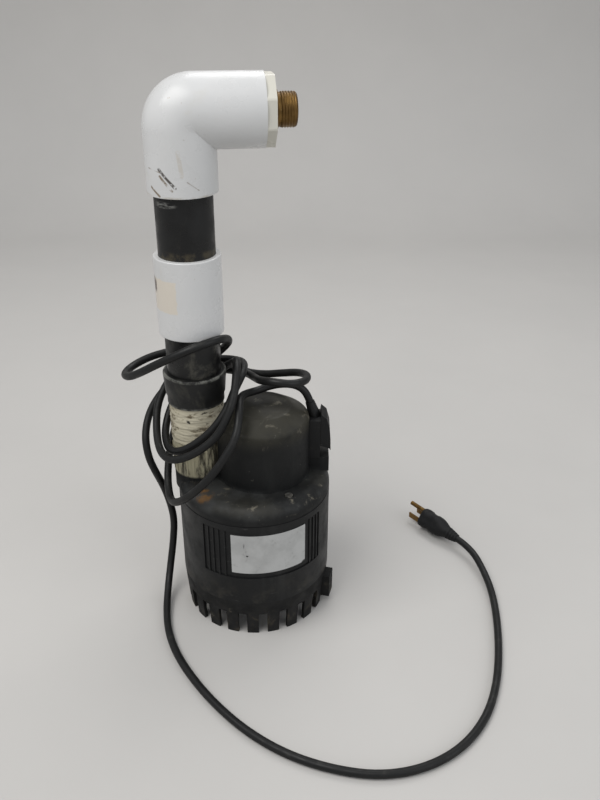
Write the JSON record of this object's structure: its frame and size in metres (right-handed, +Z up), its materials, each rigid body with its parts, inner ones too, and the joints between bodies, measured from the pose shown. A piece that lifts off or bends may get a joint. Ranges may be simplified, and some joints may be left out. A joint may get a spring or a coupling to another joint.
{
  "type": "pedestal sump pump",
  "caption": "Black sump pump: slotted strainer base, sealed motor dome, side riser pipe with coupling, elbow and hose outlet, and a coiled power cord with a plug.",
  "frame": {"origin": "centre of the base's foot circle, on the ground plane", "axes": "+Z up along the motor axis; -Y towards the label side; +X towards the hose outlet"},
  "size_m": [0.3654, 0.3519, 0.501],
  "materials": {
    "housing_black": "satin moulded thermoplastic, dusty",
    "base_black": "matte moulded thermoplastic, scuffed",
    "pipe_black": "satin black pipe with dried water marks",
    "pvc_white": "white PVC with grime and scratches",
    "tape_cream": "wrapped sealing tape, dirty",
    "brass": "machined, dulled",
    "label_blank": "plain silver-grey label, no print",
    "cord_black": "matte jacket",
    "rubber_seal": "moulded",
    "steel": "stainless",
    "cast_iron": "painted casting",
    "copper_winding": "varnished copper wire",
    "bronze": "sintered bronze",
    "ceramic": "ground ceramic face",
    "impeller_grey": "glass-filled nylon"
  },
  "bodies": {
    "pump": {"base_strainer": "base_black", "base_screws": "steel", "motor_shell": "housing_black", "blank_label": "label_blank", "upper_housing": "housing_black", "housing_gasket": "rubber_seal", "housing_screws": "steel", "suction_plate": "base_black", "volute_gasket": "rubber_seal", "volute_casing": "base_black", "riser_seal": "rubber_seal", "motor_end_plate": "cast_iron", "motor_can": "steel", "stator_core": "steel", "stator_windings": "copper_winding", "lower_bush": "bronze", "upper_bush": "bronze", "seal_seat": "ceramic", "motor_bolts": "steel", "overload_protector": "housing_black", "thread_tape": "tape_cream", "adapter_collar": "pipe_black", "lower_pipe": "pipe_black", "pipe_coupling": "pvc_white", "upper_pipe": "pipe_black", "elbow": "pvc_white", "reducing_bushing": "pvc_white", "hose_adapter": "brass", "cord_gland": "housing_black", "cord_clamp": "housing_black", "strain_relief": "cord_black", "cord_lead": "cord_black", "cord_low_turn": "cord_black", "cord_middle_turn": "cord_black", "cord_inner_turn": "cord_black", "cord_upper_turn": "cord_black", "cord_dome_loop": "cord_black", "cord_tail": "cord_black", "plug_body": "cord_black", "plug_blades": "brass", "ground_pin": "brass"},
    "rotor": {"rotor_shaft": "steel", "rotor_core": "steel", "impeller": "impeller_grey", "impeller_nut": "brass", "seal_ring": "rubber_seal"}
  },
  "joints": [
    {"name": "rotor_spin", "type": "hinge", "parent": "pump", "child": "rotor", "pos_m": [0.0084, 0, 0.1], "axis": [0, 0, 1], "continuous": true}
  ]
}
